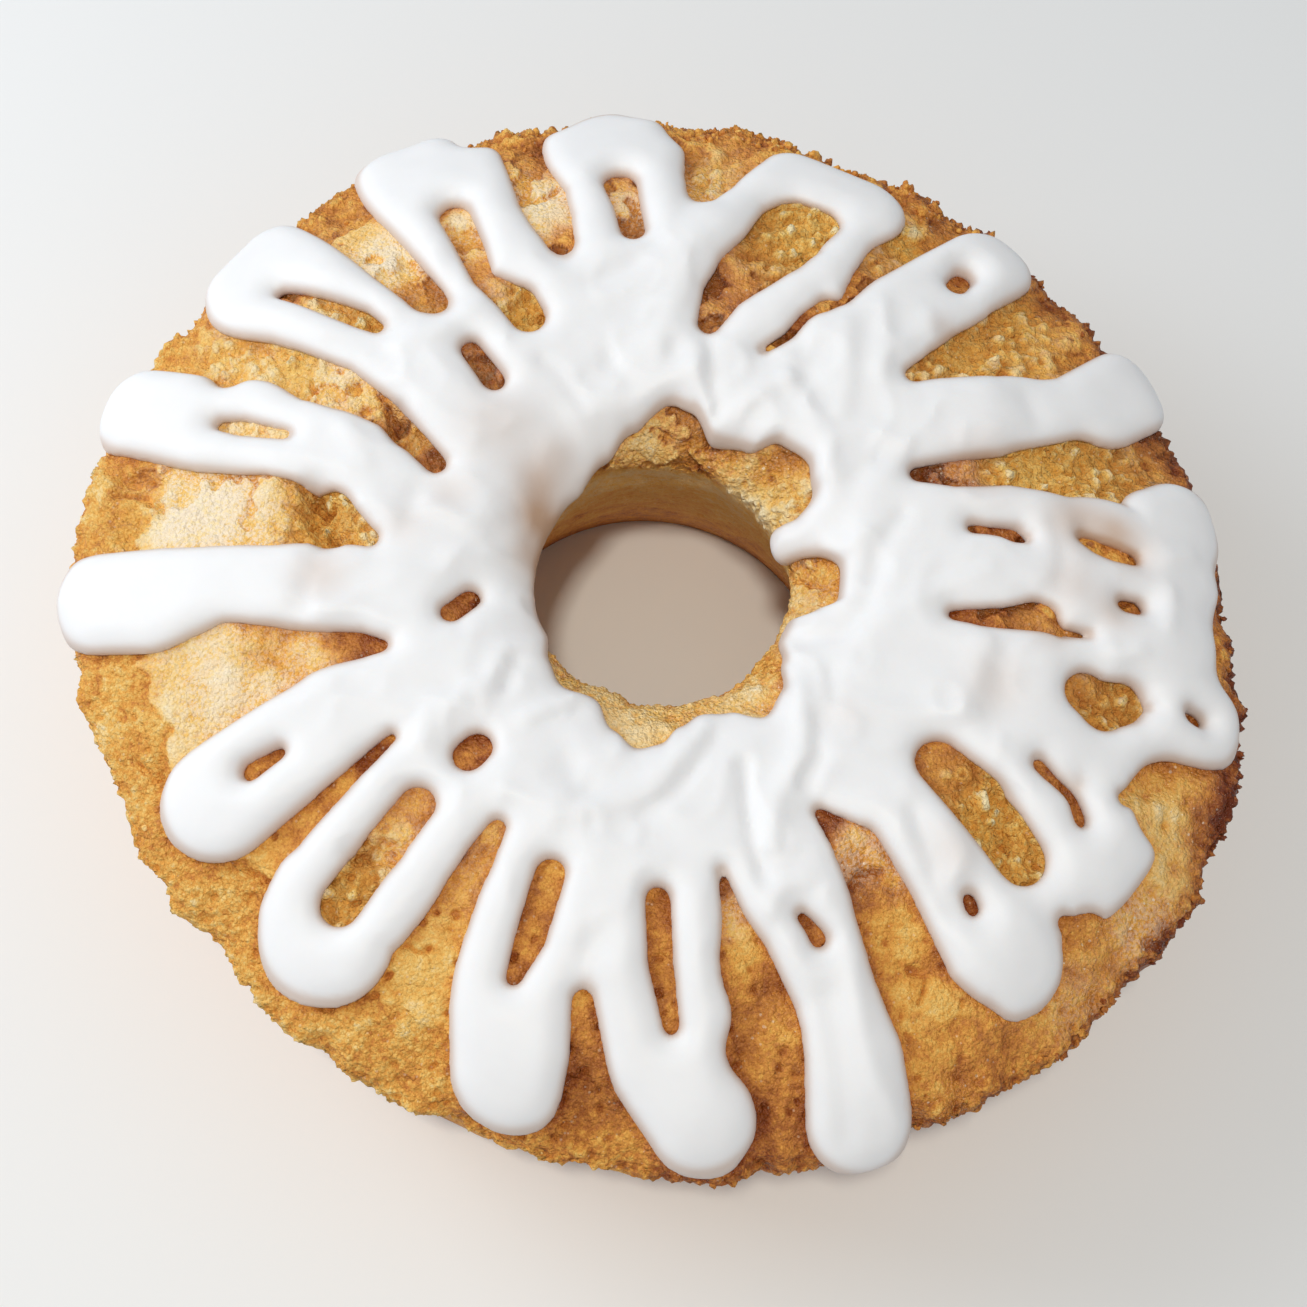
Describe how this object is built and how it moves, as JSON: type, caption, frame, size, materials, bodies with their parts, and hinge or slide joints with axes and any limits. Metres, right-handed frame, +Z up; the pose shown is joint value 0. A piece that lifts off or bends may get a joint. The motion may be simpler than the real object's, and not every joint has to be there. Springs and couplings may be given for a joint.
{
  "type": "bundt cake",
  "caption": "Round ring cake from a plain tube pan: domed golden crust, tapered side, a hole through the middle, and white sugar icing run out over the top in fingers.",
  "frame": {"origin": "on the table under the middle of the cake's bounding box", "axes": "+Z up through the hole; +X to the right and +Y away as the cake is usually looked at"},
  "size_m": [0.2299, 0.2219, 0.0714],
  "materials": {
    "crust": "baked golden cake crust, matt and finely granular, browner at the rim",
    "sugar_icing": "opaque white sugar icing, set to a satin gloss"
  },
  "bodies": {
    "root": {"cake": "crust", "icing": "sugar_icing"}
  },
  "joints": []
}
